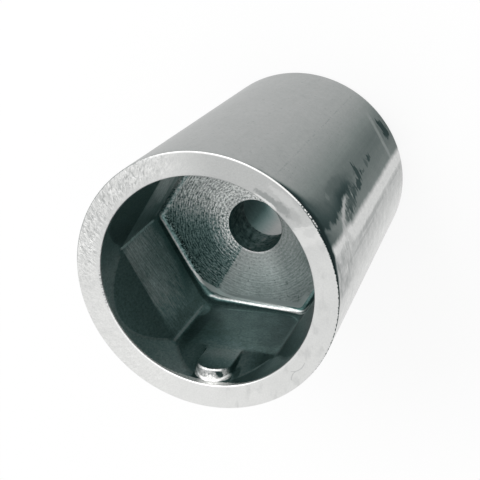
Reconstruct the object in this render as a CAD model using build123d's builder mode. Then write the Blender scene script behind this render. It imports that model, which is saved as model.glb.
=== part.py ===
"""Sacrificial zinc anode that closes the end of a propeller shaft, cast in one piece.

A blunt tapered plug with an open round mouth. Inside the mouth six leaning facets
lead a large shaft nut into a drafted hexagon socket. One flat of the hexagon runs on
towards the rim as a narrow tongue. A bolt passes through the middle of the socket's
floor, and its head sits in a round recess in the closed end.

Millimetres. The axis is Z, the closed end stands on Z = 0 and the mouth faces +Z.
The tongue is on the -Y side.
"""

import math
import os

from build123d import *

# Outside of the casting
length = 63.4                # closed end to rim
rim_diameter = 53.0          # over the rim of the mouth
closed_diameter = 44.7       # at the closed end
rim_outer_chamfer = 0.15     # edge break round the faced rim
closed_edge_radius = 1.0     # rounding round the closed end

# Mouth
mouth_diameter = 43.2        # round bore just inside the rim
mouth_edge_chamfer = 0.3     # edge break at the rim's inner edge
facet_angle = 16.0           # lean of the lead-in facets from the axis, degrees

# Hexagon socket
socket_across_flats = 36.6   # at the floor, clear of a 36 mm nut
socket_draft = 1.5           # lean of each flat from the axis, degrees
socket_depth = 29.2          # rim to floor
lead_in_depth = 10.6         # rim to the line where the flats begin
corner_radius = 1.5          # hexagon corners along the flats
floor_corner_radius = 2.5    # the same corners where they meet the floor
filled_corner_radius = 6.0   # the one corner, left of the tongue, that the casting filled in
corner_flare_height = 5.0    # how far above the floor the corners begin to widen
floor_edge_radius = 1.2      # rounding between the flats and the floor

# Tongue on one flat
tongue_width = 7.0
tongue_end_depth = 1.7       # rim to the tongue's end
tongue_corner_radius = 3.3   # corners of its end, seen from the axis
tongue_side_draft = 10.0     # lean of its sides and end, degrees

# Bolt
bolt_hole_diameter = 11.4    # clears an M10 bolt
neck_thickness = 9.3         # solid metal under the bolt's head
recess_diameter = 20.0       # room for the bolt's head and its key
recess_chamfer = 0.8         # edge break at the recess's mouth

# Heights above the closed end
floor_z = length - socket_depth
flare_z = floor_z + corner_flare_height
entry_z = length - lead_in_depth
neck_bottom_z = floor_z - neck_thickness

mouth_radius = mouth_diameter / 2


def flat_distance(z):
    """Axis to a socket flat at height z, on the drafted plane of the flats."""
    return socket_across_flats / 2 + (z - floor_z) * math.tan(math.radians(socket_draft))


def facet_distance(z):
    """Axis to a lead-in facet at height z."""
    return flat_distance(entry_z) + (z - entry_z) * math.tan(math.radians(facet_angle))


def rounded_hexagon(sketch, apothem, rounding, left_rounding):
    """Hexagon with two flats square to Y and rounded corners.

    The corner left of the tongue is rounded first, with its own radius. The other five
    are then the points farthest from the axis.
    """
    hexagon = RegularPolygon(apothem, 6, major_radius=False)
    fillet(hexagon.vertices().group_by(Axis.Y)[0].sort_by(Axis.X)[0], left_rounding)
    fillet(sketch.vertices().group_by(SortBy.DISTANCE)[-1], rounding)


# The outside: a solid of revolution with its two outer edges
with BuildPart() as blank:
    with BuildSketch(Plane.XZ) as half_section:
        with BuildLine():
            Polyline(
                (0, 0),
                (closed_diameter / 2, 0),
                (rim_diameter / 2, length),
                (0, length),
                close=True,
            )
        make_face()
        closed_corner = half_section.vertices().group_by(Axis.Y)[0].sort_by(Axis.X)[-1]
        fillet(closed_corner, closed_edge_radius)
        rim_corner = half_section.vertices().group_by(Axis.Y)[-1].sort_by(Axis.X)[-1]
        chamfer(rim_corner, rim_outer_chamfer)
    revolve(axis=Axis.Z)

# The body of metal that the lead-in leaves standing as the tongue
with BuildPart() as tongue:
    with BuildSketch(Plane.XZ.offset(flat_distance(entry_z))):
        with Locations((0, entry_z)):
            face = Rectangle(
                tongue_width,
                lead_in_depth - tongue_end_depth,
                align=(Align.CENTER, Align.MIN),
            )
        fillet(face.vertices().group_by(Axis.Y)[-1], tongue_corner_radius)
    extrude(amount=mouth_radius - flat_distance(entry_z) + 1, taper=-tongue_side_draft)

# The hollow: lead-in facets with the tongue left out, then the drafted socket
with BuildPart() as hollow:
    for z in (entry_z, length):
        with BuildSketch(Plane.XY.offset(z)) as section:
            rounded_hexagon(section, facet_distance(z), corner_radius, corner_radius)
    loft(ruled=True)
    add(tongue.part, mode=Mode.SUBTRACT)
    with BuildSketch(Plane.XY.offset(floor_z)) as section:
        rounded_hexagon(section, flat_distance(floor_z), floor_corner_radius, filled_corner_radius)
    for z in (flare_z, entry_z, length):
        with BuildSketch(Plane.XY.offset(z)) as section:
            rounded_hexagon(section, flat_distance(z), corner_radius, corner_radius)
    loft(ruled=True)
    fillet(hollow.edges().group_by(Axis.Z)[0], floor_edge_radius)
    with Locations((0, 0, floor_z)):
        Cylinder(
            mouth_radius,
            socket_depth,
            align=(Align.CENTER, Align.CENTER, Align.MIN),
            mode=Mode.INTERSECT,
        )

with BuildPart() as anode:
    add(blank.part)
    add(hollow.part, mode=Mode.SUBTRACT)

    rim_edges = anode.edges().filter_by(GeomType.CIRCLE).group_by(Axis.Z)[-1]
    chamfer(rim_edges.sort_by(SortBy.RADIUS)[0], mouth_edge_chamfer)

    with BuildSketch(Plane.XY):
        Circle(recess_diameter / 2)
    extrude(amount=neck_bottom_z, mode=Mode.SUBTRACT)
    closed_end_edges = anode.edges().filter_by(GeomType.CIRCLE).group_by(Axis.Z)[0]
    chamfer(closed_end_edges.sort_by(SortBy.RADIUS)[0], recess_chamfer)

    with BuildSketch(Plane.XY.offset(neck_bottom_z)):
        Circle(bolt_hole_diameter / 2)
    extrude(amount=neck_thickness, mode=Mode.SUBTRACT)

anode.part.label = "anode_body"

os.makedirs("parts", exist_ok=True)
export_step(anode.part, "parts/anode_body.step")
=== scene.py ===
"""Sacrificial zinc anode for a propeller shaft: its finished surface, the camera and the studio.

Lengths are named in millimetres and go into the meshes in metres. The axis is Z, the closed end
stands on Z = 0, the mouth is at the top and the tongue is on the -Y side.
"""

import bpy
import numpy as np
from mathutils import Matrix, Vector


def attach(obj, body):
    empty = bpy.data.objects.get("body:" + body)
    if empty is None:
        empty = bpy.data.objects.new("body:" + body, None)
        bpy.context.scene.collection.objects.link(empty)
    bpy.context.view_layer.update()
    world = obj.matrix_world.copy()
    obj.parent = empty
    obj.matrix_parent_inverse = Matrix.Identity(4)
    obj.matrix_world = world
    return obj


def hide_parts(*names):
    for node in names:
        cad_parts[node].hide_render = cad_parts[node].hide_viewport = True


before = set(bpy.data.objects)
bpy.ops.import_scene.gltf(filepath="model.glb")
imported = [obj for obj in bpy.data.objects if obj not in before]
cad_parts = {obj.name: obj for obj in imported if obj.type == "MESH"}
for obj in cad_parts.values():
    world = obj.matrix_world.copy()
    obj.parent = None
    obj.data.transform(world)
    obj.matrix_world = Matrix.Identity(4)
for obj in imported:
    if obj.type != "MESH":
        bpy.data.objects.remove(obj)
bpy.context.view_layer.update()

MM = 0.001

# Sizes of the casting, as its solid has them
LENGTH = 63.4
RIM_RADIUS = 26.5
CLOSED_RADIUS = 22.35
TAPER = (RIM_RADIUS - CLOSED_RADIUS) / LENGTH
CLOSED_EDGE = 1.0
RIM_EDGE = 0.15
MOUTH_RADIUS = 21.6
MOUTH_EDGE = 0.3
FACET_LEAN = np.tan(np.radians(16.0))
FLAT_LEAN = np.tan(np.radians(1.5))
FLOOR_APOTHEM = 18.3
FLOOR_Z = 34.2
ENTRY_Z = 52.8               # where the flats end and the facets begin
CORNER = 1.5
FLOOR_CORNER = 2.5
FILLED_CORNER = 6.0
FLARE_HEIGHT = 5.0
FLOOR_EDGE = 1.2
TONGUE_HALF = 3.5
TONGUE_TOP = 61.7
TONGUE_CORNER = 3.3
TONGUE_DRAFT = np.tan(np.radians(10.0))
HOLE_RADIUS = 5.7
NECK_Z = 24.9
RECESS_RADIUS = 10.0
RECESS_EDGE = 0.8

# Turns round the axis from +X, in radians
TONGUE_TURN = np.radians(-90.0)
FILLED_TURN = np.radians(-120.0)
HALF_FLAT = np.pi / 6        # half the turn that one flat spans

# Small roundings of the visual skin
FACET_CREASE = 0.10          # between a facet and the mouth bore
TONGUE_INSET = 0.05          # how far inside its outline the tongue begins to fall away
TONGUE_RUN = 0.14            # least width of the tongue's edge
HOLE_EDGE = 0.12             # at the bolt hole's two edges

# Heights of the rows on the facets: closer above the line where the tongue's end begins
CLOSE_ROWS_Z = 58.4
WIDE_ROW = 0.34
CLOSE_ROW = 0.13

# Radius and height above the neck: the recess's far corner, the ledge and the way into the hole
RECESS_BOTTOM = ((9.95, -0.04), (9.85, 0.0), (8.0, 0.0), (5.85, 0.0), (5.74, 0.03))

SHARP_FROM = np.radians(42)  # edges that turn more are shaded as sharp


def flat_distance(z):
    """Axis to a socket flat: the floor's apothem, growing with height by the flat's lean."""
    return FLOOR_APOTHEM + (z - FLOOR_Z) * FLAT_LEAN


def facet_distance(z):
    """Axis to a lead-in facet: it starts on the flat where the flats end and leans out faster."""
    return flat_distance(ENTRY_Z) + (z - ENTRY_Z) * FACET_LEAN


def turn_from(angle, centre):
    """Turn from a centre to an angle, brought between minus and plus half a turn."""
    return np.mod(angle - centre + np.pi, 2 * np.pi) - np.pi


def corner_radius(angle, z):
    """Radius of the hexagon's corners: even along the flats, opening in the last millimetres above
    the floor, and more so at the filled corner, the one left of the tongue."""
    filled = np.abs(turn_from(angle, FILLED_TURN)) < HALF_FLAT
    share = np.clip((z - FLOOR_Z) / FLARE_HEIGHT, 0, 1)
    return CORNER + (1 - share) * (np.where(filled, FILLED_CORNER, FLOOR_CORNER) - CORNER)


def hexagon(angle, apothem, rounding):
    """Radius of a rounded hexagon at an angle round the axis. Along a flat it is the apothem over
    the cosine of the turn from the flat's middle. Past the flat's end it is the far crossing of
    that ray with the corner's circle."""
    turn = np.mod(angle + np.pi / 2 + HALF_FLAT, 2 * HALF_FLAT) - HALF_FLAT
    flat = apothem / np.cos(turn)
    from_corner = HALF_FLAT - np.abs(turn)
    centre = (apothem - rounding) / np.cos(HALF_FLAT)
    inside = np.maximum(rounding ** 2 - (centre * np.sin(from_corner)) ** 2, 0)
    arc = centre * np.cos(from_corner) + np.sqrt(inside)
    flat_end = (apothem - rounding) * np.tan(HALF_FLAT)
    return np.where(apothem * np.tan(np.abs(turn)) <= flat_end, flat, arc)


def soft_least(a, b, blend):
    """The smaller of two surfaces. Their crease is rounded where they lie nearer than blend: there
    a quarter of blend comes off, times the square of one minus the gap over blend."""
    gap = np.clip(blend - np.abs(a - b), 0, None) / blend
    return np.minimum(a, b) - blend * gap ** 2 / 4


def tongue_cover(along, z, height):
    """1 on the tongue and 0 beside it. The distance to a rectangle with rounded top corners is
    turned into a drafted side: it falls from 1 to 0 while that distance grows by the draft times
    the height."""
    dx = np.abs(along) - (TONGUE_HALF - TONGUE_CORNER)
    dz = z - (TONGUE_TOP - TONGUE_CORNER)
    outside = np.hypot(np.clip(dx, 0, None), np.clip(dz, 0, None))
    distance = outside + np.minimum(np.maximum(dx, dz), 0) - TONGUE_CORNER
    run = np.maximum(height, 0) * TONGUE_DRAFT + TONGUE_RUN
    share = np.clip((distance + TONGUE_INSET) / run, 0, 1)
    return 1 - share * share * (3 - 2 * share)


def hollow_wall(angle, z):
    """Radius of the hollow: the socket's hexagon below, above it the facets kept inside the mouth
    bore, and on the -Y side the tongue, where the wall stays at the socket's flat."""
    socket = hexagon(angle, flat_distance(z), corner_radius(angle, z))
    lead_in = hexagon(angle, facet_distance(np.maximum(z, ENTRY_Z)), CORNER)
    open_wall = soft_least(np.where(z > ENTRY_Z, lead_in, socket), MOUTH_RADIUS, FACET_CREASE)
    turn = turn_from(angle, TONGUE_TURN)
    along = flat_distance(z) * np.tan(np.clip(turn, -HALF_FLAT, HALF_FLAT))
    beside = (np.abs(turn) < HALF_FLAT) & (z > ENTRY_Z)
    cover = np.where(beside, tongue_cover(along, z, open_wall - socket), 0)
    return open_wall + cover * np.minimum(socket - open_wall, 0)


def even_steps(low, high, step_at):
    """Places from low to high whose spacing follows step_at: the running total of one over the
    wanted step is cut into equal parts."""
    fine = np.linspace(low, high, 20001)
    middle = (fine[1:] + fine[:-1]) / 2
    total = np.concatenate([[0], np.cumsum(np.diff(fine) / step_at(middle))])
    count = int(np.ceil(total[-1]))
    return np.interp(np.linspace(0, total[-1], count + 1), total, fine)


def column_step(angle):
    """Spacing of the columns round the axis, in radians. In degrees it is 1.15, less near the
    filled corner, the other corners and the tongue, and least along the tongue's two sides."""
    from_tongue = np.degrees(np.abs(turn_from(angle, TONGUE_TURN)))
    from_filled = np.degrees(np.abs(turn_from(angle, FILLED_TURN)))
    from_corner = np.degrees(np.abs(np.mod(angle + HALF_FLAT, 2 * HALF_FLAT) - HALF_FLAT))
    step = np.full_like(angle, 1.15)
    for close, narrow in ((from_filled < 10, 0.55), (from_corner < 4.2, 0.4),
                          (from_tongue < 12.5, 0.42), (np.abs(from_tongue - 10.6) < 0.75, 0.09)):
        step = np.where(close, narrow, step)
    return np.radians(step)


def row_step(z):
    """Spacing of the rows on the facets: wide below the tongue's end, close beside it."""
    return np.where(z < CLOSE_ROWS_Z, WIDE_ROW, CLOSE_ROW)


def quarter(count):
    """Pairs of the sine and of one minus the cosine over a quarter turn, for a rounded edge. The
    start is left out, since the row before has it."""
    turn = np.linspace(0, np.pi / 2, count)[1:]
    return list(zip(np.sin(turn), 1 - np.cos(turn)))


FINISHES = ["turned_floor", "cast_hollow", "faced_rim", "cast_outside", "bored_hole"]


def casting_rows(angle):
    """The casting's skin as rows of (radius, height, finish), each row once round the axis. The
    rows run from the bolt hole over the floor, up the hollow, over the rim, down the outside, round
    the closed end and up the recess and the neck, back to where they started."""
    rows = []

    def row(radius, z, finish):
        rows.append((radius + 0 * angle, z + 0 * angle, FINISHES.index(finish)))

    # Floor and its rounding
    inner = HOLE_RADIUS + HOLE_EDGE
    outline = hexagon(angle, FLOOR_APOTHEM - FLOOR_EDGE, corner_radius(angle, FLOOR_Z) - FLOOR_EDGE)
    for share in np.linspace(0, 1, 26):
        row(inner + share * (outline - inner), FLOOR_Z, "turned_floor")
    for sine, fall in quarter(7):
        inset = FLOOR_EDGE * (1 - sine)
        z = FLOOR_Z + FLOOR_EDGE * fall
        radius = hexagon(angle, flat_distance(z) - inset, corner_radius(angle, z) - inset)
        row(radius, z, "cast_hollow")

    # Flats, facets and mouth bore
    for z in np.linspace(FLOOR_Z + FLOOR_EDGE, ENTRY_Z, 18)[1:]:
        row(hollow_wall(angle, z), z, "cast_hollow")
    top = LENGTH - MOUTH_EDGE
    for z in even_steps(ENTRY_Z, top, row_step)[1:]:
        row(hollow_wall(angle, z), z, "cast_hollow")

    # Rim with its two edges
    mouth = hollow_wall(angle, top)
    for sine, fall in quarter(5):
        row(mouth + MOUTH_EDGE * fall, top + MOUTH_EDGE * sine, "faced_rim")
    rim_in, rim_out = mouth + MOUTH_EDGE, RIM_RADIUS - RIM_EDGE
    for share in np.linspace(0, 1, 15)[1:]:
        row(rim_in + share * (rim_out - rim_in), LENGTH, "faced_rim")
    for sine, fall in quarter(5):
        row(rim_out + (RIM_EDGE - RIM_EDGE * TAPER) * sine, LENGTH - RIM_EDGE * fall, "faced_rim")

    # Outside and closed end
    for z in np.linspace(LENGTH - RIM_EDGE, CLOSED_EDGE, 34)[1:]:
        row(CLOSED_RADIUS + TAPER * z, z, "cast_outside")
    edge = CLOSED_RADIUS + TAPER * CLOSED_EDGE
    for sine, fall in quarter(11):
        row(edge - CLOSED_EDGE * fall, CLOSED_EDGE * (1 - sine), "cast_outside")
    end_out, end_in = edge - CLOSED_EDGE, RECESS_RADIUS + RECESS_EDGE
    for share in np.linspace(0, 1, 8)[1:]:
        row(end_out + share * (end_in - end_out), 0, "cast_outside")

    # Recess and bolt hole
    for share in (0.5, 1):
        row(RECESS_RADIUS + RECESS_EDGE * (1 - share), RECESS_EDGE * share, "bored_hole")
    for z in np.linspace(RECESS_EDGE, NECK_Z - 0.15, 9)[1:]:
        row(RECESS_RADIUS, z, "bored_hole")
    for radius, above in RECESS_BOTTOM:
        row(radius, NECK_Z + above, "bored_hole")
    for z in np.linspace(NECK_Z + HOLE_EDGE, FLOOR_Z - 0.1, 10):
        row(HOLE_RADIUS, z, "bored_hole")
    row(HOLE_RADIUS + 0.04, FLOOR_Z - 0.03, "bored_hole")
    return rows


def cast_anode():
    """The casting's skin as one closed grid: both ways round it meets itself, so it has no seam.
    A place is the row's radius times the cosine and sine of the column's angle, at the row's
    height."""
    angle = even_steps(-np.pi, np.pi, column_step)[:-1]
    radius, height, finish = (np.array(part) for part in zip(*casting_rows(angle)))
    points = np.stack([radius * np.cos(angle), radius * np.sin(angle), height], -1) * MM
    down, across = radius.shape
    i, j = np.meshgrid(np.arange(down), np.arange(across), indexing="ij")
    i2, j2 = (i + 1) % down, (j + 1) % across
    # Anticlockwise seen from outside the metal, so that the faces point outwards
    corners = [i * across + j, i2 * across + j, i2 * across + j2, i * across + j2]
    quads = np.stack(corners, -1).reshape(-1, 4)
    mesh = bpy.data.meshes.new("zinc_casting")
    mesh.from_pydata(points.reshape(-1, 3).tolist(), [], quads.tolist())
    mesh.polygons.foreach_set("material_index", finish[i2].reshape(-1).astype(np.int32))
    mesh.polygons.foreach_set("use_smooth", np.ones(len(quads), bool))
    mesh.set_sharp_from_angle(angle=SHARP_FROM)
    mesh.update()
    piece = bpy.data.objects.new("zinc_casting", mesh)
    bpy.context.scene.collection.objects.link(piece)
    return piece


# Zinc's colour at each brightness: nearly neutral where it is bright, blue-green where it is dark
ZINC_TONES = [(0.0, (0.003, 0.007, 0.007)), (0.03, (0.0155, 0.030, 0.030)),
              (0.06, (0.038, 0.060, 0.059)), (0.20, (0.170, 0.200, 0.192)),
              (0.40, (0.388, 0.400, 0.396)), (1.0, (1.0, 1.0, 0.985))]

# Blue-green casts where little light comes: on the floor, on the hollow's wall and in the hole
FLOOR_CAST = (0.78, 1.0, 1.0)
WALL_CAST = (0.70, 1.0, 1.0)
HOLE_CAST = (0.62, 1.0, 1.0)


class Reading:
    """A value or colour that changes over a surface. Arithmetic on it adds Math nodes."""

    def __init__(self, nodes, socket):
        self.nodes, self.socket = nodes, socket

    def math(self, operation, *others):
        """A Math node on this value and up to two others."""
        return self.nodes.node("Math", {"operation": operation}, dict(enumerate([self, *others])))

    def __add__(self, other):
        return self.math("ADD", other)

    def __sub__(self, other):
        return self.math("SUBTRACT", other)

    def __mul__(self, other):
        return self.math("MULTIPLY", other)

    def __truediv__(self, other):
        return self.math("DIVIDE", other)

    def __rsub__(self, other):
        return self * -1.0 + other

    __radd__, __rmul__ = __add__, __mul__


class Nodes:
    """One tree of shader nodes, and the only way in which nodes and links are added to it."""

    def __init__(self, tree):
        self.tree = tree

    def feed(self, socket, value):
        """Links a reading to a socket, or sets the socket's own value."""
        if isinstance(value, Reading):
            self.tree.links.new(value.socket, socket)
        else:
            socket.default_value = value

    def node(self, kind, settings=None, inputs=None, output=0):
        """Adds a node: its settings first, a ramp's stops among them, then what its sockets get."""
        made = self.tree.nodes.new("ShaderNode" + kind)
        for key, value in (settings or {}).items():
            if key == "stops":
                ramp = made.color_ramp
                for k, (at, stop_colour) in enumerate(value):
                    stop = ramp.elements[k] if k < 2 else ramp.elements.new(at)
                    stop.position, stop.color = at, (*stop_colour, 1)
            else:
                setattr(made, key, value)
        for key, value in (inputs or {}).items():
            self.feed(made.inputs[key], value)
        return Reading(self, made.outputs[output])


class Finish(Nodes):
    """A metal finish: one material with its nodes, and the readings that its patterns start from.
    Azimuth is the turn round the axis from +X and fan the turn from -X, both in degrees."""

    def __init__(self, name, metallic=1.0):
        self.material = bpy.data.materials.new(name)
        self.material.use_nodes = True
        super().__init__(self.material.node_tree)
        self.shader = self.tree.nodes["Principled BSDF"]
        self.paint("Metallic", metallic)
        self.place = self.node("VectorMath", {"operation": "SCALE"},
                               {0: self.node("TexCoord", output="Object"), "Scale": 1 / MM})
        self.x, self.y, self.z = (self.node("SeparateXYZ", {}, {0: self.place}, output=k)
                                  for k in range(3))
        self.radius = (self.x * self.x + self.y * self.y).math("SQRT")
        self.azimuth = self.y.math("ARCTAN2", self.x) * (180 / np.pi)
        self.fan = (self.y * -1.0).math("ARCTAN2", self.x * -1.0) * (180 / np.pi)

    def paint(self, name, value):
        """Puts a value or reading on one of the shader's own sockets."""
        self.feed(self.shader.inputs[name], value)

    # Masks, from 0 to 1

    def rise(self, value, low, high):
        """0 below low, 1 above high and a smooth rise between them."""
        return self.node("MapRange", {"interpolation_type": "SMOOTHSTEP"},
                         {0: value, 1: low, 2: high})

    def band(self, value, low, high, soft):
        """1 from low to high, fading out over soft on both sides."""
        return self.rise(value, low - soft, low) * (1 - self.rise(value, high, high + soft))

    def near(self, value, centre, half, soft):
        """1 where the value is within half of a centre line, fading out over soft."""
        return 1 - self.rise((value - centre).math("ABSOLUTE"), half, half + soft)

    def spot(self, u, v, centre, half, ragged=0.0):
        """1 inside an oval with the given centre and half widths, fading out round it."""
        du, dv = (u - centre[0]) / half[0], (v - centre[1]) / half[1]
        return 1 - self.rise((du * du + dv * dv).math("SQRT") + ragged, 0.65, 1.15)

    def scratch(self, x, y, turn, length, bend, width=0.09):
        """A thin curved mark on a level face: 1 where the distance across it, less the bend times
        the square of the distance along it, is under its width."""
        cosine, sine = np.cos(np.radians(turn)), np.sin(np.radians(turn))
        along = (self.x - x) * cosine + (self.y - y) * sine
        across = (self.y - y) * cosine - (self.x - x) * sine - along * along * bend
        thin = 1 - self.rise(across.math("ABSOLUTE"), width * 0.5, width * 1.5)
        return thin * self.band(along, -length / 2, length / 2, 0.4)

    # Noise, from 0 to 1

    def noise(self, at, detail=2.0, rough=0.5, curl=0.0):
        """Noise with lumps of size 1, read at a place. Curl bends them."""
        return self.node("TexNoise", {}, {"Vector": at, "Scale": 1.0, "Detail": detail,
                                          "Roughness": rough, "Distortion": curl})

    def laid_noise(self, u, v=0.0, seed=0.0, **look):
        """Noise laid on two readings of the surface."""
        return self.noise(self.node("CombineXYZ", {}, {0: u, 1: v, 2: seed}), **look)

    def grain(self, size, detail=2.0, rough=0.5, stretch=(1, 1, 1), seed=0.0):
        """Cloudy noise with lumps of about that size in millimetres, drawn out by stretch."""
        at = self.node("VectorMath", {"operation": "MULTIPLY_ADD"},
                       {0: self.place, 1: tuple(1 / (size * s) for s in stretch),
                        2: (seed, 2 * seed, 3 * seed)})
        return self.noise(at, detail, rough)

    def drawn_grain(self, across, along, seed=0.0):
        """Noise laid on azimuth and height: across in degrees and along in millimetres give a
        mark's size. The azimuth runs back from 135 degrees round to -45, so that the noise has no
        seam."""
        turn = (self.azimuth + 45.0).math("PINGPONG", 180.0) - 45.0
        return self.laid_noise(turn / across, self.z / along, seed, detail=3.0, rough=0.55)

    def ring_grain(self, across, around, slant=0.0, curl=0.0, seed=0.0):
        """Noise laid on radius and the turn round the axis, for torn marks of a turning tool:
        across in millimetres, around in degrees, slant the degrees that a mark turns per
        millimetre inwards, curl how far the marks bend."""
        turn = (self.fan + self.radius * slant) / around
        return self.laid_noise(self.radius / across, turn, seed, rough=0.6, curl=curl)

    # Lines

    def curve(self, value, *points):
        """A broken line through the given points, read at the value."""
        (start, _), (end, _) = points[0], points[-1]
        low, high = min(y for x, y in points), max(y for x, y in points)
        stops = [((x - start) / (end - start), ((y - low) / (high - low),) * 3) for x, y in points]
        share = self.node("ValToRGB", {"stops": stops}, {0: (value - start) / (end - start)})
        return share * (high - low) + low

    def floor_way(self):
        """Millimetres along the surface from the edge of the socket's floor: below 0 on the floor,
        0 to 1.9 on the rounding, then up the wall. The floor's part comes from the hexagon's reach,
        the larger of its flats' distances with the crease between them softened by each corner's
        fill."""
        level = self.y.math("ABSOLUTE")
        side = self.x.math("ABSOLUTE") * 0.866 + level * 0.5
        fill = self.band(self.azimuth, -140, -100, 20) * 2.85 + 1.05
        reach = level.math("SMOOTH_MAX", side, fill)
        on_floor = (reach - (FLOOR_APOTHEM - FLOOR_EDGE)).math("MINIMUM", 0.0)
        up = self.z - FLOOR_Z
        rounding = (1 - up / FLOOR_EDGE).math("MAXIMUM", 0.0).math("ARCCOSINE") * FLOOR_EDGE
        return on_floor + rounding + (up - FLOOR_EDGE).math("MAXIMUM", 0.0)

    def floor_lines(self, base, way, grit):
        """Draws lines round the floor's edge over a base: a gritty ledge and a thin line of painted
        shadow under the -X flat, then two painted highlights, bright lines that part at the filled
        corner and meet again past the -Y flat, with a thin dark line of painted shade between them.
        The curves give millimetres of way at degrees of fan."""
        first = self.curve(self.fan, (0, 1.3), (4, 1.05), (30, 0.95), (38, 0.85), (44, 0.6),
                           (49, 0.3), (53, -0.2), (57, -0.7), (62, -0.88), (68, -0.5),
                           (75, -0.12), (90, 0.08), (105, 0.25), (114, 0.5), (120, 0.9),
                           (126, 1.4))
        second = self.curve(self.fan, (56, 1.6), (58.5, 0.9), (62, 0.38), (67, 0.3), (73, 0.36),
                            (83, 0.52), (93, 0.67), (103, 0.78), (111, 0.88), (116, 1.05),
                            (120, 1.45), (123, 1.9), (126, 2.8))
        ledge = self.band(way + grit * 0.3, -0.35, 0.45, 0.15) * self.band(self.fan, 2, 48, 4)
        base = over(base, ledge, grit * 1.7 - 0.72)
        shadow = self.band(way, 0.45, 0.75, 0.1) * self.band(self.fan, 2, 44, 6)
        base = over(base, shadow, grit * 0.6 - 0.04)
        # Painted highlight: the first bright line, its width and tone round the floor
        wide = self.curve(self.fan, (0, 0.05), (42, 0.07), (50, 0.25), (58, 0.40), (68, 0.30),
                          (90, 0.12), (126, 0.08))
        first_highlight_tone = self.curve(self.fan, (0, 0.62), (44, 0.66), (56, 0.68), (66, 0.72), (80, 0.66),
                           (110, 0.60), (126, 0.60))
        base = over(base, self.near(way, first, wide, 0.24) * self.band(self.fan, 0, 126, 3), first_highlight_tone)
        # Painted shade: a thin dark line between the two highlights
        gap = (first + second) * 0.5
        base = over(base, self.near(way, gap, 0.02, 0.12) * self.band(self.fan, 46, 112, 6), 0.22)
        # Painted highlight: the second bright line and its tone
        strength = self.curve(self.fan, (56, 0.5), (62, 0.66), (90, 0.72), (108, 0.78), (126, 0.72))
        lower = self.near(way, second, 0.10, 0.28) * self.band(self.fan, 61, 126, 4)
        return over(base, lower, strength)

    # Colour, gloss and relief

    def tone(self, brightness):
        """Zinc's colour at a brightness."""
        return self.node("ValToRGB", {"stops": ZINC_TONES}, {0: brightness})

    def cast_tone(self, brightness, share, cast):
        """Zinc's colour at a brightness, multiplied by a share of a further cast."""
        return self.node("Mix", {"data_type": "RGBA", "blend_type": "MULTIPLY"},
                         {0: share, 6: self.tone(brightness), 7: (*cast, 1)}, output=2)

    def dull_dark_tones(self, brightness):
        """Makes the darkest tones, the painted shade and painted reflection, less metallic, without
        the gloss that they would get instead.
        """
        self.paint("Metallic", self.rise(brightness, 0.04, 0.34) * 0.9 + 0.1)
        self.paint("Specular IOR Level", 0.0)

    def relief(self, height, depth):
        """Bumps the surface: a height of 1 stands for depth millimetres."""
        bump = {"Height": height, "Distance": depth * MM, "Strength": 1.0}
        self.paint("Normal", self.node("Bump", {}, bump))

    def glow_for_sight(self, share):
        """Mixes in that share of plain white where the camera or a reflection sees the surface."""
        camera, glossy, through = (self.node("LightPath", output=name) for name in
                                   ("Is Camera Ray", "Is Glossy Ray", "Is Transmission Ray"))
        factor = camera.math("MAXIMUM", glossy).math("MAXIMUM", through) * share
        white = self.node("Emission", {}, {"Strength": 1.0})
        lit = Reading(self, self.shader.outputs[0])
        mixed = self.node("MixShader", {}, {0: factor, 1: lit, 2: white})
        self.feed(self.tree.nodes["Material Output"].inputs["Surface"], mixed)


def over(under, mask, upper):
    """The lower brightness where mask is 0, the upper one where it is 1."""
    return under + mask * (upper - under)


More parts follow.
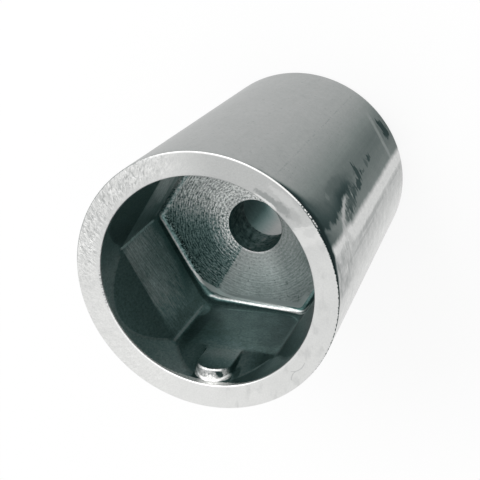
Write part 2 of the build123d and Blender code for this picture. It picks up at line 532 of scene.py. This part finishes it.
def turned_floor():
    """Socket floor faced with a single point tool: clean rings round the bolt hole, finer torn
    rings outside them, coarse in a fan towards -X that painted reflection of the rings darkens,
    with painted highlights and painted shade along its edge."""
    f = Finish("turned_zinc_floor")
    cloud = f.grain(6.0, seed=3) - 0.5
    wander = f.grain(2.5, seed=2) * 0.45
    speck = f.grain(0.36, seed=8)
    torn = f.ring_grain(0.26, 4.5, seed=5)
    wide_rings = ((f.radius + wander) * (2 * np.pi / 0.84)).math("SINE")
    fine_rings = ((f.radius + wander * 0.5) * (2 * np.pi / 0.52)).math("SINE")
    ringed = 1 - f.rise(f.radius, 9.4, 10.6)
    fan = f.rise(f.fan + cloud * 20, -38, 12) * (1 - f.rise(f.fan, 60.0, 62.5))
    upper = f.band(f.fan, -110, -14, 24)
    clean = f.band(f.fan, -80, 50, 25)

    # Tones, from the whole floor to its parts: painted reflection of the turned rings, lighter and
    # darker by direction round the hole and darkest in the fan towards -X
    base = cloud * 0.08 + 0.53
    base = over(base, f.rise(f.x + f.y * 0.4, -1.0, 4.0), 0.30)
    base = over(base, f.rise(f.x, 7.0, 13.0), 0.20)
    base = over(base, upper, over(0.62, ringed, 0.74))
    # Painted reflection: the fan's dark tone, lighter where the rings are clean near the hole
    fan_reflection_tone = f.curve(f.fan, (-40, 0.21), (0, 0.18), (30, 0.15), (45, 0.20), (58, 0.24))
    base = over(base, fan, over(fan_reflection_tone, ringed, 0.30))
    far_edge = f.rise(f.radius, 10.0, 14.5) * f.band(f.fan, 94, 140, 12)
    base = over(base, far_edge * 0.6, 0.36)
    collar = ringed * f.band(f.fan, -60, 40, 25) * (1 - f.rise(f.radius, 6.6, 8.6))
    base = over(base, collar, 0.62)

    # Rings, torn marks and pits
    coarse = (fan + upper * 0.6).math("MINIMUM", 1.0)
    rings = over(fine_rings * over(0.08, coarse, 0.22) + wide_rings * 0.06, ringed,
                 wide_rings * over(0.08, clean, 0.20))
    tear = (torn - 0.5) * 2.6 + (speck - 0.5) * 1.5
    base = base * (rings + tear * over(0.42, coarse, 1.80) + 1.0).math("MAXIMUM", 0.2)
    pits = f.rise(f.grain(0.8, detail=1, seed=12), 0.70, 0.76)
    base = over(base, pits * 0.5, 0.10)

    way = f.floor_way()
    base = over(base, f.band(way, -0.9, 0.1, 0.3) * f.band(f.fan, 58, 126, 6), 0.42)
    base = f.floor_lines(base, way, speck + (torn - 0.5) * 0.5)
    f.paint("Base Color", f.cast_tone(base, fan * (1 - f.rise(base, 0.25, 0.6)), FLOOR_CAST))
    f.paint("Roughness", 0.46)
    f.relief((torn + speck * 0.5) * over(0.35, coarse, 1.0) + wide_rings * ringed * clean * 0.25,
             0.06)
    return f.material


def cast_hollow():
    """Cast skin of the hollow, its tones painted light and shade: dark facets, paler grainy flats
    with shaded edges and a painted sheen, painted highlights along the floor and on the rounding
    of the filled corner, and a tongue with painted shade on its sides and an end lit by painted
    light and painted highlights."""
    f = Finish("cast_zinc_hollow")
    way = f.floor_way()
    grain = f.grain(0.42, detail=3, rough=0.65, stretch=(1, 1, 1.4), seed=1)
    grit = grain - 0.5
    cloud = f.grain(3.6, detail=3, seed=3) - 0.5
    from_corner = (f.azimuth.math("PINGPONG", 30.0) * (np.pi / 180)).math("SINE") * f.radius
    facing = f.node("SeparateXYZ", {}, {0: f.node("NewGeometry", output="Normal")}, output=2)
    lined = f.laid_noise(f.fan / 8.0, (f.z + f.fan * 0.06) / 0.42, detail=3.0, rough=0.6) - 0.5
    to_tongue = f.y * -1.0
    tongue_side = f.rise(to_tongue, 15, 16)
    arches = f.rise(way, 20, 21)

    # Flats: painted light and shade round the axis, then up the wall, with a painted sheen and fine
    # lines
    flats = f.curve(f.fan, (-180, 0.38), (-80, 0.44), (-50, 0.50), (-30, 0.40), (-16, 0.26),
                    (-4, 0.26), (0, 0.40), (8, 0.47), (30, 0.48), (40, 0.36), (52, 0.21),
                    (60, 0.17), (66, 0.14), (80, 0.19), (96, 0.17), (112, 0.105), (130, 0.10),
                    (150, 0.24), (180, 0.38)) + cloud * 0.16
    near_side = f.band(f.fan, 64, 128, 6)
    flats = flats * over(f.curve(way, (2, 0.85), (8, 1.0), (14, 1.15), (19, 0.95)), near_side,
                         f.curve(way, (2, 0.60), (8, 0.74), (14, 1.0), (19, 1.75)))
    sheen = f.spot(f.fan + (way - 5.0) * 2.3, way, (-17.0, 11.5), (9.0, 8.0), cloud * 1.4)
    flats = over(flats, sheen * 0.75, 0.62)
    flats = over(flats, f.band(way, 5.0, 6.0, 0.6) * f.band(f.fan, -40, -4, 6) * 0.7, 0.16)
    flats = flats * (lined * over(1.9, near_side, 0.5) * f.band(f.fan, -150, 150, 25) + 1.0)

    # Painted shade along the floor, and a painted highlight along its pale edge under the -Y flat
    shade_top = f.curve(f.fan, (-180, 3.4), (-30, 3.0), (0, 5.5), (8, 4.4), (30, 4.4), (42, 5.5),
                        (52, 7.5), (58, 9.0), (62, 5.0), (70, 3.8), (112, 1.9), (120, 3.6),
                        (180, 3.4))
    shade = f.curve(f.fan, (-180, 0.20), (0, 0.27), (60, 0.23), (66, 0.09), (125, 0.09),
                    (180, 0.20))
    flats = over(shade, f.rise(way, shade_top - 1.2, shade_top + 1.2), flats)
    pale_edge = f.curve(f.fan, (70, 3.6), (80, 3.1), (90, 2.7), (100, 2.4), (110, 2.1),
                        (114, 2.2), (117, 3.0), (120, 4.6))
    flats = over(flats, f.near(way, pale_edge, 0.05, 0.45) * f.band(f.fan, 78, 119, 8), 0.19)

    # Facets and mouth bore in painted light and shade round the axis, and painted highlights along
    # the lines between them and up the corners
    facets = f.curve(f.fan, (-180, 0.30), (-80, 0.28), (-50, 0.20), (-20, 0.15), (-8, 0.13),
                     (2, 0.23), (30, 0.21), (58, 0.24), (66, 0.20), (72, 0.27), (79, 0.20),
                     (90, 0.22), (98, 0.36), (106, 0.30), (114, 0.12), (122, 0.19), (150, 0.29),
                     (180, 0.30)) + cloud * 0.05
    wall = over(flats, f.rise(way, 19.05, 19.45), facets)
    bore = f.curve(f.fan, (-180, 0.34), (-80, 0.30), (-40, 0.22), (-10, 0.25), (4, 0.40),
                   (20, 0.40), (50, 0.29), (60, 0.34), (74, 0.42), (80, 0.26), (108, 0.15),
                   (115, 0.15), (122, 0.28), (145, 0.40), (180, 0.34)) + cloud * 0.14
    wall = over(wall, f.rise(f.radius, MOUTH_RADIUS - 0.12, MOUTH_RADIUS - 0.04) * arches, bore)
    arch_highlight = f.near(f.radius, MOUTH_RADIUS - 0.13, 0.03, 0.10) * arches * f.rise(f.fan, -6, 2)
    wall = over(wall, arch_highlight * 0.8, 0.38)
    corner_highlight = f.near(from_corner, 0.0, 0.14, 0.32) * f.band(way, 4.5, 19.4, 1.0)
    corner_tone = f.curve(f.fan, (-10, 0.95), (10, 0.95), (50, 0.44), (70, 0.44), (100, 0.14),
                          (130, 0.14))
    wall = over(wall, corner_highlight * 0.9, corner_tone)

    # Filled corner: a dark and a light patch beside the corner, and a painted highlight on the
    # corner's widening rounding near the floor
    for centre, half, ragged, depth, level in (
            ((65.5, 12.0), (3.5, 9.0), 0.0, 0.7, 0.09), ((55.5, 9.0), (2.8, 8.0), 0.0, 0.7, 0.19),
            ((62.3, 5.4), (2.9, 2.6), cloud * 0.5, 0.85, 0.30)):
        wall = over(wall, f.spot(f.fan, way, centre, half, ragged) * depth, level)

    # Rounding along the floor: a band of painted shade, grit like the floor's, and the painted
    # highlights and shade of the floor's edge lines
    rounding_shade = f.band(way, 0.95, 2.2, 0.5) * (1 - f.rise(f.fan, 122, 125)) * f.rise(f.fan, -2, 4)
    wall = over(wall, rounding_shade, 0.12)
    edge = way + grit * 0.7
    floor_skin = (1 - f.rise(edge, 1.1, 1.5)) * f.band(f.fan, -60, -1, 4)
    wall = over(wall, floor_skin, grit * 1.2 + 0.42)
    torn_edge = f.band(edge, 1.0, 3.4, 0.5) * f.band(f.fan, -34, -3, 3)
    wall = over(wall, torn_edge * 0.75, grit * 1.5 + cloud * 1.2 + 0.46)
    low_edge = (1 - f.rise(way, 0.5, 0.8)) * f.band(f.fan, 60, 150, 6)
    wall = over(wall, low_edge, f.curve(f.fan, (120, 0.17), (126, 0.27)))
    wall = f.floor_lines(wall, way, grain)

    # Tongue: its face, its sides darker as painted shade, and painted shadow on the facet beside it
    tongue = f.band(f.x, -3.85, 3.85, 0.2) * tongue_side * f.rise(way, 18.0, 20.4)
    shadow_beside_tongue = f.spot(f.x, way, (4.6, 25.5), (0.8, 2.2), cloud * 0.8) * tongue_side
    wall = over(wall, shadow_beside_tongue * 0.6, 0.05)
    proud = to_tongue - (f.z - FLOOR_Z) * float(FLAT_LEAN) - FLOOR_APOTHEM
    # Painted shade on the tongue's sides
    side = over(0.11, f.rise(f.x, 0.0, 1.0), f.curve(way, (20, 0.30), (23.5, 0.15), (28, 0.10)))
    front = f.curve(way, (19, 0.38), (22, 0.42), (24, 0.31), (27.5, 0.19)) + cloud * 0.2
    wall = over(wall, tongue, over(front, f.rise(proud, 0.12, 0.30), side))

    # The tongue's end: lit by painted light where it faces the mouth, with a dark spot, a rough
    # right side and two painted highlights, bright lines along its rounded edges
    end = f.rise(facing, 0.30, 0.62) * f.rise(way, 24, 25.2) * tongue
    dark_spot = f.spot(f.x - proud * 0.5, proud, (1.35, 0.95), (0.72, 0.9), grit * 0.9)
    sheen_and_wear = over(grit * 0.5 + 0.43, dark_spot, 0.05)
    sheen_and_wear = over(sheen_and_wear, f.rise(f.x - proud * 0.3, 2.2, 2.7), grit * 0.9 + 0.34)
    inner = f.curve(f.x, (-2.8, 0.30), (-1.5, 0.12), (0.8, 0.08), (2.0, 0.18))
    sheen_and_wear = over(sheen_and_wear, f.near(proud, inner, 0.17, 0.16) * f.band(f.x, -2.8, 2.0, 0.3), 0.97)
    outer = f.curve(f.x, (-3.4, 1.1), (-2.2, 1.95), (0, 2.25), (2.0, 2.05), (3.3, 1.5))
    sheen_and_wear = over(sheen_and_wear, f.near(proud, outer, 0.16, 0.16), 0.95)
    wall = over(wall, end, sheen_and_wear)

    # Painted highlight: a bright strip just under the rim
    white_foot = f.curve(f.fan, (-60, 29.3), (62, 29.2), (70, 28.9), (79, 28.4), (90, 28.3),
                         (100, 28.4), (108, 29.0), (120, 29.25), (150, 29.35))
    above = f.rise(way - white_foot + grit * 0.5, 0.0, 0.25)
    wall = over(wall, above, over(0.70, f.band(f.fan, 60, 120, 10), 0.95))

    dark = (1 - f.rise(wall, 0.22, 0.6)).math("MAXIMUM", f.rise(way, 1.9, 2.6) * 0.35)
    dim = f.band(f.fan, -55, 145, 25) * dark * (1 - end.math("MAXIMUM", above))
    f.paint("Base Color", f.cast_tone(wall * (grit * 1.3 + 1.0), dim, WALL_CAST))
    f.paint("Roughness", 0.42)
    f.relief(grain, 0.05)
    return f.material


def faced_rim():
    """Rim of bare zinc: sandy on its -X side, smooth and darker towards +Y as painted shade, with a
    smudge, a burnished patch, a few scratches, and edges with painted highlights, painted shade
    and painted glints."""
    f = Finish("faced_zinc_rim")
    sandy = f.ring_grain(0.95, 1.5, slant=1.2, curl=1.1, seed=4)
    fine = f.grain(0.33, seed=6)
    cloud = f.grain(5.0, seed=9) - 0.5
    wobble = (f.grain(1.1, detail=4, rough=0.6, seed=13) - 0.5) * 2.6
    nick = f.laid_noise(f.azimuth / 1.1, detail=2.5)

    # Sandy and smooth sides, lighter and darker round the axis as painted light and shade
    sand_side = (1 - f.rise(f.x, -15.0, -1.0)) * (f.rise(f.y, -6.0, 4.0) * 0.8 + 0.2)
    sand_side = sand_side * (f.rise(f.radius, 22.1, 23.2) * 0.75 + 0.25)
    level = f.curve(f.azimuth, (-180, 0.76), (-150, 0.80), (-115, 0.84), (-60, 0.78), (0, 0.72),
                    (100, 0.74), (130, 0.70), (150, 0.68), (180, 0.76))
    face = over(cloud * 0.08 + level, f.band(f.azimuth, 50, 80, 34), 0.53)
    face = face + (fine - 0.5) * over(0.12, f.band(f.azimuth, -170, -120, 15), 0.20)
    face = face + (sandy - 0.5) * (sand_side * 1.05 + 0.05)

    # Smudge: ovals of (azimuth, radius), their half widths, depth and tone; the last is a painted
    # highlight by the inner edge
    for centre, half, depth, level in (
            ((50.0, 24.9), (9.0, 0.8), 0.6, 0.66), ((56.0, 22.7), (6.5, 0.8), 0.85, 0.33),
            ((48.5, 23.1), (5.5, 1.0), 0.85, 0.35), ((42.0, 24.0), (4.5, 0.9), 0.4, 0.42),
            ((53.0, 21.95), (3.6, 0.45), 1.0, 0.74)):
        smear = f.spot(f.azimuth + wobble, f.radius, centre, half, wobble * 0.7)
        face = over(face, smear * depth, level)
    # Painted highlight: a bright streak along the inner edge
    inner_edge_highlight = f.spot(f.azimuth, f.radius + wobble * 0.2, (57.5, 22.0), (5.5, 0.3))
    face = over(face, inner_edge_highlight * 0.8, 0.86)

    # Burnished patch and the crease that bounds it
    crease = 36.8 - (f.radius - 22.0) * 0.9 + wobble * 1.2
    patch = f.rise(crease - f.azimuth, -0.6, 0.9) * f.rise(f.azimuth + wobble * 1.5, 25.0, 28.5)
    grey = f.spot(f.azimuth, f.radius, (33.0, 24.6), (3.2, 1.5), wobble * 0.7)
    face = over(face, patch * 0.75, over(0.79, grey * 0.35, 0.56))
    crease_line = f.near(f.azimuth, crease + 0.5, 0.1, 0.9) * f.band(f.radius, 22.6, 25.6, 0.6)
    face = over(face, crease_line * 0.6, 0.80)

    # Faint stains on the right and two scratches
    stain = f.rise(f.grain(1.5, detail=3, stretch=(1, 2.2, 1), seed=16), 0.52, 0.75)
    face = over(face, f.band(f.azimuth, -75, 20, 12) * stain * 0.35, 0.50)
    marks = f.scratch(18.8, -15.3, 40, 3.2, 0.18)
    marks = marks.math("MAXIMUM", f.scratch(17.4, -16.6, 65, 2.0, -0.25))
    face = over(face, marks * 0.5, 0.42)

    # Outer edge: a line of painted highlight, nicked away towards a dark edge of painted shade with
    # painted glints
    whole = f.rise(nick + f.rise(f.azimuth, 40, 66) * 0.5, 0.42, 0.60)
    line_foot = f.curve(f.azimuth, (30, 26.28), (60, 26.15), (80, 26.05), (120, 26.05))
    outer_line = f.rise(f.radius, line_foot, 26.30) * f.band(f.azimuth, 38, 108, 8) * whole
    dark_foot = f.curve(f.azimuth, (-45, 26.5), (-30, 26.42), (-10, 26.34), (5, 26.24),
                        (18, 26.06), (30, 26.0), (42, 26.14), (60, 26.36))
    dark_edge = f.rise(f.radius + (nick - 0.5) * 0.7 - dark_foot, -0.05, 0.12)
    dark_edge = dark_edge * f.band(f.azimuth, -34, 48, 8)
    glint = f.rise(nick, 0.58, 0.68) * (1 - f.rise(f.radius - dark_foot, 0.10, 0.22))
    glint = glint * f.band(f.azimuth, 18, 50, 5)
    face = over(face, dark_edge * (1 - outer_line), over(0.02, glint, 0.85))
    thin_edge = f.rise(f.radius, 26.28, 26.40) * f.band(f.azimuth, 122, 174, 8)
    face = over(face, thin_edge * (nick * 0.8 + 0.3), 0.20)

    # Inner edge: frayed on the left, and below a painted highlight, a bright broken line
    frayed = (1 - f.rise(f.radius, 21.85, 22.05)) * f.band(f.azimuth, -177, -158, 4)
    face = over(face, frayed * f.rise(nick, 0.45, 0.55) * 0.7, 0.30)
    inner_line = (1 - f.rise(f.radius, 21.80, 21.95)) * f.band(f.azimuth, -152, -72, 12)
    inner_line = inner_line * (0.35 + f.rise(nick, 0.42, 0.5) * 0.65)
    line_tone = over(1.0, f.rise(f.azimuth, 75, 95), 0.86)
    face = over(face, outer_line.math("MAXIMUM", inner_line), line_tone)

    f.paint("Base Color", f.tone(face))
    f.paint("Roughness", 0.42)
    f.relief(sandy * (sand_side * 0.7 + 0.08) + fine * 0.12, 0.20)
    return f.material


def cast_outside():
    """Cast outside: grey satin skin, lighter on its +Y side and darker towards +X as painted light
    and shade, a long dark patch of painted reflection beside a pale strip of painted reflection
    on its +X side, all drawn out along the axis, and a fine parting line."""
    f = Finish("cast_zinc_outside")
    a = f.azimuth + (f.drawn_grain(9, 9, seed=1) - 0.5) * 1.6
    streak = f.drawn_grain(1.3, 24, seed=2) - 0.5
    jag = f.drawn_grain(5.5, 2.0, seed=5) - 0.5
    blotch = f.drawn_grain(5.5, 1.1, seed=6) - 0.5
    grain = f.grain(0.45, detail=3, seed=3) - 0.5
    mottle = f.grain(1.5, seed=14) - 0.5
    cloud = f.grain(9.0, detail=3, seed=4) - 0.5

    # Skin in painted light and shade round the axis, and the dark patch of painted reflection
    # between its ragged left edge and where it fades
    skin = f.curve(a, (18, 0.19), (27, 0.155), (36, 0.135), (41, 0.160), (46, 0.210), (52, 0.265),
                   (60, 0.335), (75, 0.385), (110, 0.40), (124, 0.43), (140, 0.48), (180, 0.46))
    skin = skin + cloud * 0.04 + streak * 0.03
    left_edge = f.curve(f.z, (30, 33), (36, 31), (42, 30.2), (47, 29.2), (50, 27.0), (54, 26.0),
                        (58, 27.0), (63, 28.5))
    fade = f.curve(f.z, (34, 38), (44, 41.5), (52, 40), (57, 42), (60, 46.5), (63, 60))
    dark_reflection = f.rise(a - left_edge + jag * 7.5, -2.0, 2.4)
    dark_reflection = dark_reflection * (1 - f.rise(a + jag * 5, fade - 9.0, fade + 2.0))
    dark_reflection = dark_reflection * f.rise(f.z + jag * 10, 33.5, 40)
    dark_reflection_tone = f.curve(a - left_edge, (0, 0.042), (3.5, 0.052), (8, 0.076)) + cloud * 0.05
    skin = over(skin, dark_reflection, dark_reflection_tone)
    skin = over(skin, f.spot(a, f.z, (38.5, 46), (2.6, 6.5), blotch) * 0.5, 0.10)
    pale_fleck = f.spot(a + blotch * 4, f.z, (37.2, 51.6), (1.7, 0.8), blotch * 2)
    skin = over(skin, pale_fleck * 0.4, 0.20)

    # Grey ground of painted reflection under the bright arch, with small dark spots of (turn,
    # height)
    under_arch = f.rise(left_edge - a - jag * 7.5, -2.4, 2.0) * f.rise(a, 20, 21.5)
    skin = over(skin, under_arch * f.rise(f.z + blotch * 14, 36, 49.5),
                0.21 + blotch * 0.3 + streak * 0.15)
    towards_rim = f.curve(f.z, (51, 0.20), (56, 0.16), (60, 0.11), (63, 0.06)) + cloud * 0.1
    skin = over(skin, under_arch * f.rise(f.z, 50.0, 52), towards_rim)
    for centre, half, depth in (
            ((24.0, 46.5), (3.0, 2.6), 0.6), ((26.5, 42), (4.0, 3.0), 0.7),
            ((28.5, 38), (3.2, 2.5), 0.7), ((28.5, 33.8), (2.4, 1.9), 0.9),
            ((33, 31.3), (5.0, 1.6), 0.9), ((30.6, 28), (1.2, 1.4), 0.5),
            ((31.5, 24.2), (2.2, 1.0), 0.5), ((32.2, 21.8), (2.2, 1.3), 0.85),
            ((35, 4.2), (6.5, 1.8), 1.0)):
        dark_spot = f.spot(a + blotch * 3, f.z, centre, half, blotch * 3.2)
        skin = over(skin, dark_spot * depth, 0.045)
    # Painted highlight: a light line along a ridge near the closed end
    ridge_highlight = f.curve(a, (20, 8.2), (30, 8.8), (38, 8.0), (50, 5.5))
    skin = over(skin, f.near(f.z, ridge_highlight, 0.3, 0.9) * f.band(a, 23, 44, 5) * 0.6, 0.27)

    # The side towards -Y: streaks, a rough end by the rim and a smooth pale strip, its light tones
    # painted reflection
    sheen_and_wear = f.curve(a, (-180, 0.46), (-75, 0.48), (-50, 0.50), (-34, 0.58), (-18, 0.80),
                   (-8, 0.76), (1, 0.63), (7, 0.52), (12, 0.50), (20, 0.62))
    sheen_and_wear = sheen_and_wear + streak * f.rise(a, -170, -60) * 0.16
    sheen_and_wear = sheen_and_wear + (jag * 0.24 + blotch * 0.16) * f.rise(a, -36, -12)
    rough_end = f.rise(f.z + jag * 16, 47, 56) * f.band(a + jag * 10, 1, 14.5, 4)
    sheen_and_wear = over(sheen_and_wear, rough_end * 0.8, 0.43 + (blotch + jag) * 0.75)
    for centre, half, depth in (((8.2, 41), (0.9, 13), 0.45), ((11.0, 32), (1.5, 14), 0.55),
                                ((10.6, 9), (1.0, 7), 0.4), ((12.5, 60.5), (2.0, 1.5), 0.6)):
        sheen_and_wear = over(sheen_and_wear, f.spot(f.azimuth, f.z, centre, half, jag * 1.6) * depth, 0.30)
    strip_edge = f.curve(f.z, (0, 12.7), (47, 12.7), (50, 14.2), (52, 17.2), (63, 17.2))
    sheen_and_wear = over(sheen_and_wear, f.rise(a + jag * 2 - strip_edge, -1.1, 1.1), 0.67)
    outer = f.curve(f.z, (0, 20.2), (46, 20.4), (50, 21.5), (53, 21.4), (63, 22.2))
    skin = over(skin, 1 - f.rise(a + jag * 2 - outer, -2.4, 1.3), sheen_and_wear)

    # Bright arch of painted reflection, parting line and pits
    arch = f.curve(a, (13, 48.5), (17, 50.8), (21, 51.6), (25, 50.2), (28, 47.5), (30.5, 44.5))
    bright_arch = f.near(f.z + blotch * 2.5 + jag * 4, arch, 0.2, 2.0) * f.band(a, 15, 29.5, 2.5)
    skin = over(skin, bright_arch * 0.65, 0.50)
    seam = f.near(f.azimuth, 59.3, 0.15, 0.35) * f.rise(f.grain(0.8, seed=7), 0.46, 0.60)
    skin = over(skin, seam * 0.45, 0.22)
    pits = f.rise(f.grain(0.55, detail=1, seed=11), 0.70, 0.76)
    skin = over(skin, pits * 0.35, 0.10)

    # Dark lip of painted shade under the rim, and the plain closed end
    lip_foot = f.curve(f.azimuth, (-10, 64.4), (0, 63.7), (6, 63.2), (12, 62.5), (18, 61.5),
                       (35, 61.2), (50, 62.0), (64, 63.2), (110, 63.6), (125, 63.0),
                       (155, 63.1), (172, 64.4))
    skin = over(skin, f.rise(f.z + jag * 2.0 - lip_foot, -0.8, 1.2), 0.02)
    skin = over(skin, 1 - f.rise(f.z, 0.05, 0.3), cloud * 0.12 + 0.44)

    f.dull_dark_tones(skin)
    rub = over(0.26, f.rise(skin, 0.45, 0.6), 0.40)
    f.paint("Base Color", f.tone(skin * (grain * rub + mottle * 0.14 + 1.0)))
    f.paint("Roughness", 0.40)
    f.relief(grain * 0.4 + streak * 0.6, 0.025)
    return f.material


def bored_hole():
    """Rough cored wall of the bolt hole, and the bored recess behind it, both lighter or darker
    round the axis as painted light and shade, the recess paler towards its open end as painted
    light.
    """
    f = Finish("bored_zinc_hole")
    rough = f.grain(0.8, detail=4, rough=0.6, seed=9)
    drawn = f.drawn_grain(9, 2.2, seed=2)
    # Painted light and shade round the axis on the neck and the recess
    neck = f.curve(f.fan, (-180, 0.18), (-60, 0.12), (15, 0.10), (50, 0.14), (80, 0.22),
                   (110, 0.22), (180, 0.18))
    neck = neck * ((drawn + rough - 1.0) * 2.0 + 1.0).math("MAXIMUM", 0.15)
    recess = f.curve(f.fan, (-180, 0.28), (-60, 0.15), (30, 0.11), (45, 0.155), (60, 0.28),
                     (75, 0.40), (110, 0.37), (180, 0.28))
    # Painted light: the recess lighter towards its open end
    recess = recess * (1.65 - f.rise(f.z, 2, 9) * 0.6) + (rough - 0.5) * 0.06
    bored = over(recess, f.rise(f.z, NECK_Z - 0.1, NECK_Z + 0.1), neck)
    f.paint("Base Color", f.cast_tone(bored, 1 - f.rise(bored, 0.15, 0.45), HOLE_CAST))
    f.dull_dark_tones(bored)
    f.paint("Roughness", 0.45)
    f.relief(rough, 0.10)
    return f.material


MAKERS = {"turned_floor": turned_floor, "cast_hollow": cast_hollow, "faced_rim": faced_rim,
          "cast_outside": cast_outside, "bored_hole": bored_hole}

# The photograph's view, fitted to the rim, the hexagon and the outside
CAMERA_PLACE = (103.62, 133.22, 331.52)
CAMERA_AHEAD = (-0.3106, -0.3972, -0.8636)
CAMERA_UPWARD = (-0.1213, 0.9176, -0.3784)
FOCAL_PIXELS = 1675.03
PICTURE_PIXELS = 480
SENSOR = 36.0                # width of the camera's sensor


def set_camera():
    """The camera at the photograph's place, turned ahead with its upward side up."""
    ahead = Vector(CAMERA_AHEAD).normalized()
    right = ahead.cross(Vector(CAMERA_UPWARD)).normalized()
    up = right.cross(ahead)
    data = bpy.data.cameras.new("camera")
    data.sensor_width = SENSOR
    data.lens = SENSOR * FOCAL_PIXELS / PICTURE_PIXELS
    data.clip_start = 10 * MM
    camera = bpy.data.objects.new("camera", data)
    turn = Matrix((right, up, -ahead)).transposed()
    camera.matrix_world = Matrix.Translation(Vector(CAMERA_PLACE) * MM) @ turn.to_4x4()
    bpy.context.scene.collection.objects.link(camera)
    bpy.context.scene.camera = camera


def set_lamp():
    """One soft square lamp high on the +Y side, turned to the middle of the casting."""
    place, target = Vector((-250, 350, 600)), Vector((0, 0, 40))
    data = bpy.data.lights.new("key_lamp", "AREA")
    data.size = 400 * MM
    data.energy = 2.0
    lamp = bpy.data.objects.new("key_lamp", data)
    lamp.location = place * MM
    lamp.rotation_euler = (target - place).to_track_quat("-Z", "Y").to_euler()
    bpy.context.scene.collection.objects.link(lamp)


def set_floor():
    """A pale floor that keeps the shadow and looks nearly white to the camera."""
    half = 1500 * MM
    corners = [(-half, -half, 0), (half, -half, 0), (half, half, 0), (-half, half, 0)]
    mesh = bpy.data.meshes.new("studio_floor")
    mesh.from_pydata(corners, [], [(0, 1, 2, 3)])
    floor = bpy.data.objects.new("studio_floor", mesh)
    bpy.context.scene.collection.objects.link(floor)
    f = Finish("studio_floor", metallic=0.0)
    f.paint("Base Color", (0.9, 0.9, 0.9, 1))
    f.paint("Roughness", 0.9)
    f.paint("Specular IOR Level", 0.0)
    f.glow_for_sight(0.85)
    mesh.materials.append(f.material)


def set_world():
    """A world that is white to the camera and a little dimmer as light on the casting."""
    world = bpy.data.worlds.new("studio_world")
    bpy.context.scene.world = world
    world.use_nodes = True
    sky = Nodes(world.node_tree)
    background = world.node_tree.nodes["Background"]
    seen = sky.node("LightPath", output="Is Camera Ray")
    sky.feed(background.inputs["Color"], (1, 1, 1, 1))
    sky.feed(background.inputs["Strength"],
             sky.node("MapRange", {}, {"Value": seen, "To Min": 0.88, "To Max": 1.0}))


set_camera()
set_floor()
set_world()
set_lamp()
casting = cast_anode()
for finish in FINISHES:
    casting.data.materials.append(MAKERS[finish]())
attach(casting, "root")
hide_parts("anode_body")

bpy.context.scene.view_settings.view_transform = "Standard"
